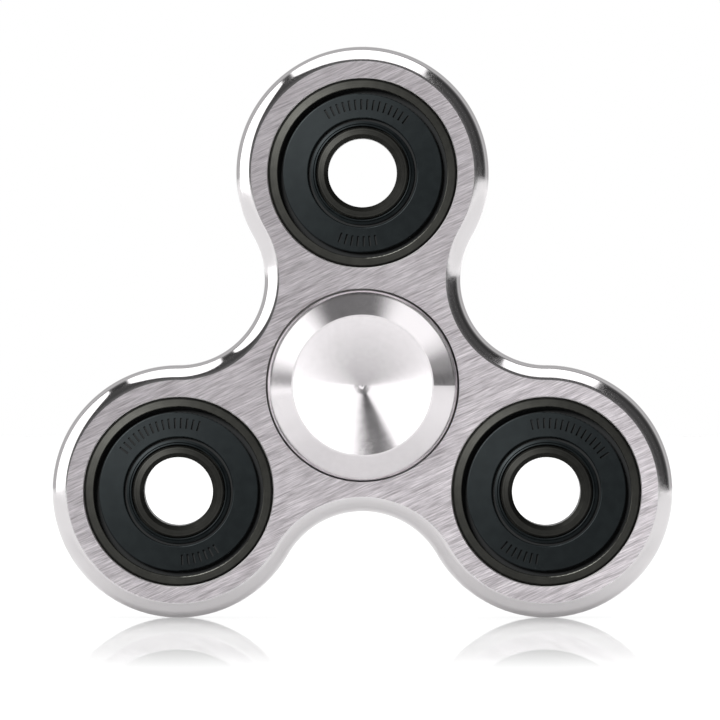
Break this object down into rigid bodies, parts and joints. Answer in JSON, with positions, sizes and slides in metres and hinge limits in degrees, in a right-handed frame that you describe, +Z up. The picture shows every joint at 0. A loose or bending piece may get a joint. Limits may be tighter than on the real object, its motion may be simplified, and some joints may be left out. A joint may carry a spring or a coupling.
{
  "type": "fidget spinner",
  "caption": "Fidget spinner: a rounded, lobed metal plate with sealed open-bored bearings in its lobes, which spins about a finger-held middle hub.",
  "frame": {"origin": "the spinner's centre: on the middle bearing's axis, half way through the plate's thickness", "axes": "+Z up through the top lobe, +Y along the spin axis from the front to the rear, +X towards the right lobe"},
  "size_m": [0.0722, 0.0136, 0.0664],
  "materials": {
    "plate_metal": "straight-brushed faces with a polished rounded edge",
    "cap_metal": "lathe-turned and polished",
    "ring_steel": "black oxide, ground satin faces",
    "ball_steel": "polished bearing steel",
    "cage_steel": "pressed steel",
    "seal_rubber": "moulded matt rubber"
  },
  "bodies": {
    "frame": {"plate": "plate_metal", "center_outer_ring": "ring_steel", "center_front_seal": "seal_rubber", "center_rear_seal": "seal_rubber", "top_outer_ring": "ring_steel", "top_front_seal": "seal_rubber", "top_rear_seal": "seal_rubber", "left_outer_ring": "ring_steel", "left_front_seal": "seal_rubber", "left_rear_seal": "seal_rubber", "right_outer_ring": "ring_steel", "right_front_seal": "seal_rubber", "right_rear_seal": "seal_rubber"},
    "hub": {"center_inner_ring": "ring_steel", "front_cap": "cap_metal", "rear_cap": "cap_metal"},
    "center_cage": {"center_balls": "ball_steel", "center_front_cage": "cage_steel", "center_rear_cage": "cage_steel", "center_cage_rivets": "cage_steel"},
    "top_cage": {"top_balls": "ball_steel", "top_front_cage": "cage_steel", "top_rear_cage": "cage_steel", "top_cage_rivets": "cage_steel"},
    "top_race": {"top_inner_ring": "ring_steel"},
    "left_cage": {"left_balls": "ball_steel", "left_front_cage": "cage_steel", "left_rear_cage": "cage_steel", "left_cage_rivets": "cage_steel"},
    "left_race": {"left_inner_ring": "ring_steel"},
    "right_cage": {"right_balls": "ball_steel", "right_front_cage": "cage_steel", "right_rear_cage": "cage_steel", "right_cage_rivets": "cage_steel"},
    "right_race": {"right_inner_ring": "ring_steel"}
  },
  "joints": [
    {"name": "hub_spin", "type": "hinge", "parent": "frame", "child": "hub", "pos_m": [0, 0, 0], "axis": [0, 1, 0], "continuous": true},
    {"name": "center_cage_spin", "type": "hinge", "parent": "frame", "child": "center_cage", "pos_m": [0, 0, 0], "axis": [0, 1, 0], "continuous": true},
    {"name": "top_race_spin", "type": "hinge", "parent": "frame", "child": "top_race", "pos_m": [0, 0, 0.0247], "axis": [0, 1, 0], "continuous": true},
    {"name": "top_cage_spin", "type": "hinge", "parent": "frame", "child": "top_cage", "pos_m": [0, 0, 0.0247], "axis": [0, 1, 0], "continuous": true},
    {"name": "left_race_spin", "type": "hinge", "parent": "frame", "child": "left_race", "pos_m": [-0.02139, 0, -0.01235], "axis": [0, 1, 0], "continuous": true},
    {"name": "left_cage_spin", "type": "hinge", "parent": "frame", "child": "left_cage", "pos_m": [-0.02139, 0, -0.01235], "axis": [0, 1, 0], "continuous": true},
    {"name": "right_race_spin", "type": "hinge", "parent": "frame", "child": "right_race", "pos_m": [0.02139, 0, -0.01235], "axis": [0, 1, 0], "continuous": true},
    {"name": "right_cage_spin", "type": "hinge", "parent": "frame", "child": "right_cage", "pos_m": [0.02139, 0, -0.01235], "axis": [0, 1, 0], "continuous": true}
  ],
  "couplings": [
    {"joint": "center_cage_spin", "follows": "hub_spin", "ratio": 0.3677},
    {"joint": "top_cage_spin", "follows": "top_race_spin", "ratio": 0.3677},
    {"joint": "left_cage_spin", "follows": "left_race_spin", "ratio": 0.3677},
    {"joint": "right_cage_spin", "follows": "right_race_spin", "ratio": 0.3677}
  ]
}
